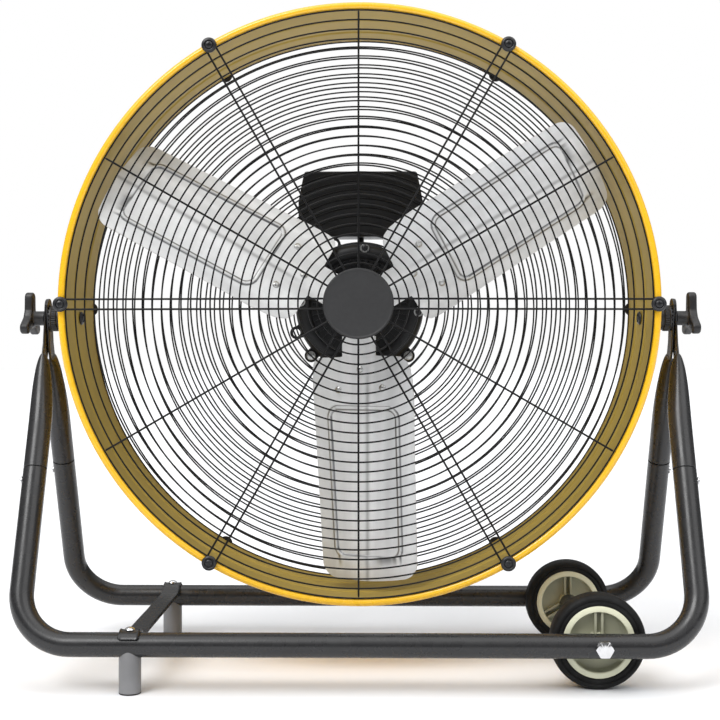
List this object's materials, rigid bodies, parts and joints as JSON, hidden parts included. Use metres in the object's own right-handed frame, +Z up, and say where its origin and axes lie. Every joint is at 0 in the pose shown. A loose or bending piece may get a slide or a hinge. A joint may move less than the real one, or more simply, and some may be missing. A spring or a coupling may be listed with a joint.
{
  "type": "drum fan",
  "caption": "Drum floor fan on a tubular A-frame tilt stand with wheels, wire guards, pitched paddle blades, a motor, clamping knobs and a speed switch.",
  "frame": {"origin": "on the floor, below the middle of the tilt axis", "axes": "+X to the right along the tilt axis, seen from the front; +Y from the front of the fan to its back; +Z up"},
  "size_m": [0.7614, 0.3114, 0.7314],
  "materials": {
    "black_hardware": "satin",
    "black_plastic": "satin",
    "blade_aluminium": "satin",
    "bright_steel": "brushed",
    "cable_pvc": "satin",
    "cap_grey": "matte",
    "charcoal": "satin",
    "chrome": "polished",
    "copper": "satin",
    "foot_rubber": "matte",
    "guard_black": "satin",
    "lamination_steel": "satin",
    "motor_black": "satin",
    "post_grey": "satin",
    "strap_grey": "satin",
    "tyre_rubber": "matte",
    "wheel_cream": "satin",
    "yellow_paint": "gloss"
  },
  "bodies": {
    "stand": {"front_base_tube": "charcoal", "rear_base_tube": "charcoal", "front_leg_left": "charcoal", "front_leg_right": "charcoal", "rear_leg_left": "charcoal", "rear_leg_right": "charcoal", "leg_joint_screws": "chrome", "foot_post_front": "post_grey", "foot_post_rear": "post_grey", "foot_plugs": "foot_rubber", "brace_strap": "strap_grey", "brace_screws": "chrome", "axle_bolt": "chrome", "axle_nut": "chrome", "axle_spacer": "black_hardware", "axle_washers": "chrome"},
    "wheel_front": {"wheel_front_hub": "wheel_cream", "wheel_front_tyre": "tyre_rubber"},
    "wheel_rear": {"wheel_rear_hub": "wheel_cream", "wheel_rear_tyre": "tyre_rubber"},
    "drum": {"drum_shell": "yellow_paint", "front_guard_rings": "guard_black", "front_guard_spokes": "guard_black", "front_hub_plate": "guard_black", "front_guard_cap": "cap_grey", "rear_guard_rings": "guard_black", "rear_guard_spokes": "guard_black", "cup_washers": "black_hardware", "rim_screws": "black_hardware", "pivot_bosses": "black_plastic", "toothed_collars": "black_plastic", "pivot_bolts": "black_hardware", "motor_mount_plate": "motor_black", "motor_housing": "motor_black", "motor_front_bell": "motor_black", "motor_rear_bell": "motor_black", "motor_stator": "lamination_steel", "motor_windings": "copper", "motor_through_bolts": "black_hardware", "motor_ear_bolts": "bright_steel", "bearings": "bright_steel", "control_box_case": "black_plastic", "control_box_lid": "black_plastic", "control_box_screws": "bright_steel", "speed_switch": "black_plastic", "run_capacitor": "bright_steel", "cable_gland": "black_plastic", "motor_lead": "cable_pvc", "lead_grommet": "foot_rubber"},
    "rotor": {"motor_shaft": "bright_steel", "motor_rotor": "lamination_steel", "blade_hub": "blade_aluminium", "blade_lower": "blade_aluminium", "blade_left": "blade_aluminium", "blade_right": "blade_aluminium", "blade_rivets": "bright_steel", "hub_nut": "bright_steel"},
    "knob_left": {"tilt_knob_left": "black_plastic"},
    "knob_right": {"tilt_knob_right": "black_plastic"},
    "speed_dial": {"speed_knob": "black_plastic"}
  },
  "joints": [
    {"name": "drum_tilt", "type": "hinge", "parent": "stand", "child": "drum", "pos_m": [0, 0, 0.391], "axis": [1, 0, 0], "range_deg": [-90, 90]},
    {"name": "rotor_spin", "type": "hinge", "parent": "drum", "child": "rotor", "pos_m": [0, 0, 0.404], "axis": [0, 1, 0], "continuous": true},
    {"name": "wheel_front_spin", "type": "hinge", "parent": "stand", "child": "wheel_front", "pos_m": [0.251, -0.1072, 0.05], "axis": [0, 1, 0], "continuous": true},
    {"name": "wheel_rear_spin", "type": "hinge", "parent": "stand", "child": "wheel_rear", "pos_m": [0.251, 0.1072, 0.05], "axis": [0, 1, 0], "continuous": true},
    {"name": "knob_left_turn", "type": "hinge", "parent": "drum", "child": "knob_left", "pos_m": [-0.365, 0, 0.391], "axis": [-1, 0, 0], "range_deg": [0, 360]},
    {"name": "knob_right_turn", "type": "hinge", "parent": "drum", "child": "knob_right", "pos_m": [0.365, 0, 0.391], "axis": [1, 0, 0], "range_deg": [0, 360]},
    {"name": "speed_knob_turn", "type": "hinge", "parent": "drum", "child": "speed_dial", "pos_m": [0.018, 0.13, 0.532], "axis": [0, -1, 0], "range_deg": [0, 135]}
  ]
}
